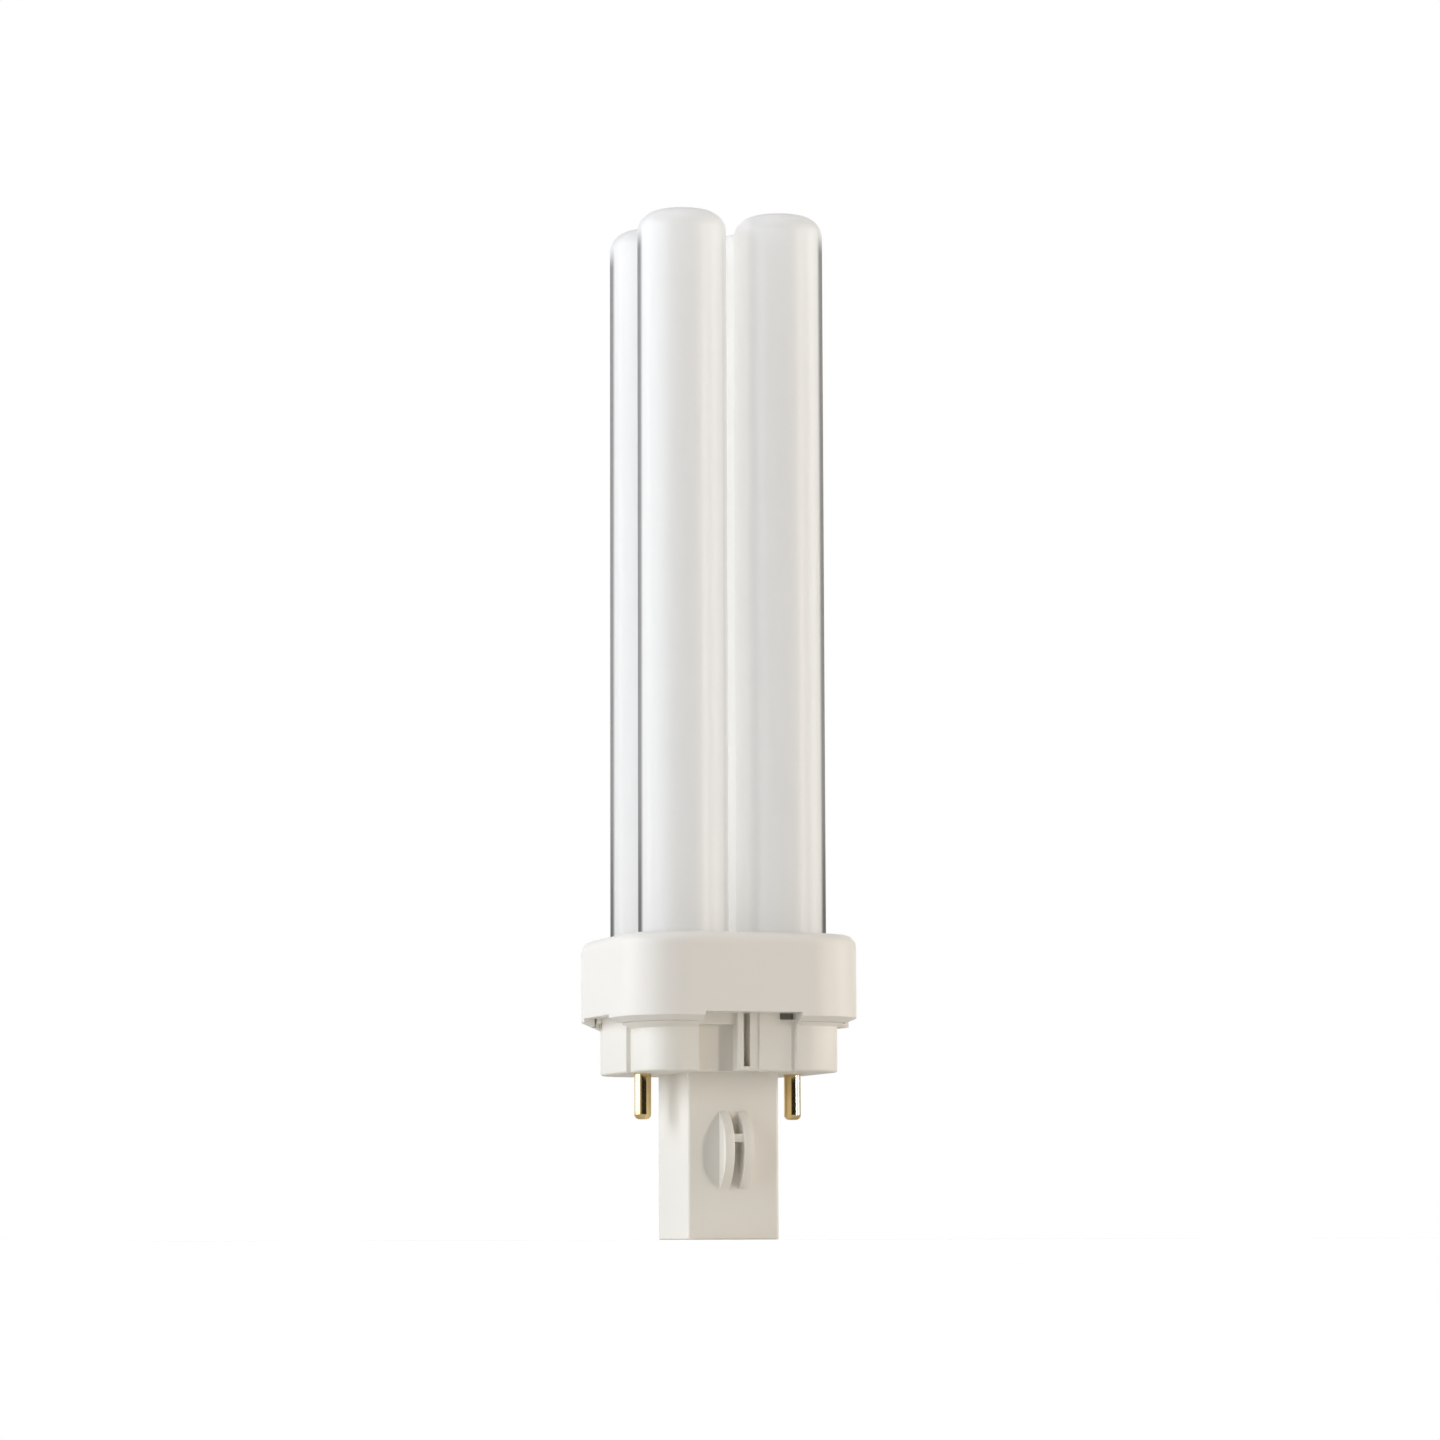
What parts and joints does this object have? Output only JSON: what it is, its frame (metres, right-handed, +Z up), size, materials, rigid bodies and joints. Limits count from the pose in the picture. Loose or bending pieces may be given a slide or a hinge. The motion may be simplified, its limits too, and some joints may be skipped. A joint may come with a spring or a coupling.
{
  "type": "two pin compact fluorescent lamp",
  "caption": "Plug-in compact fluorescent lamp: parallel white glass limbs in a rounded square collar, keyed skirt, brass contact pins and a hollow centre post for the starter.",
  "frame": {"origin": "middle of the flat end of the centre post, on which the lamp stands", "axes": "+Z up the lamp to the domed ends of the limbs, the contact pins lie along X, the keyed faces look along -Y and +Y"},
  "size_m": [0.0346, 0.0346, 0.1461],
  "materials": {
    "coated_glass": "glossy glass over an opaque white phosphor coat",
    "collar_plastic": "satin moulded, warm white",
    "base_plastic": "satin moulded, warm white",
    "pin_brass": "bright drawn tube",
    "cement": "dry, matt",
    "starter_glass": "clear blown glass",
    "capacitor_coat": "dipped resin",
    "tinned_wire": "tinned"
  },
  "bodies": {
    "root": {"discharge_tube": "coated_glass", "collar": "collar_plastic", "base_housing": "base_plastic", "contact_pin_left": "pin_brass", "contact_pin_right": "pin_brass", "fixing_cement": "cement", "starter_bulb": "starter_glass", "starter_capacitor": "capacitor_coat", "starter_lead_left": "tinned_wire", "starter_lead_right": "tinned_wire", "return_lead_left": "tinned_wire", "return_lead_right": "tinned_wire", "capacitor_lead_left": "tinned_wire", "capacitor_lead_right": "tinned_wire", "pin_lead_left": "tinned_wire", "pin_lead_right": "tinned_wire"}
  },
  "joints": []
}
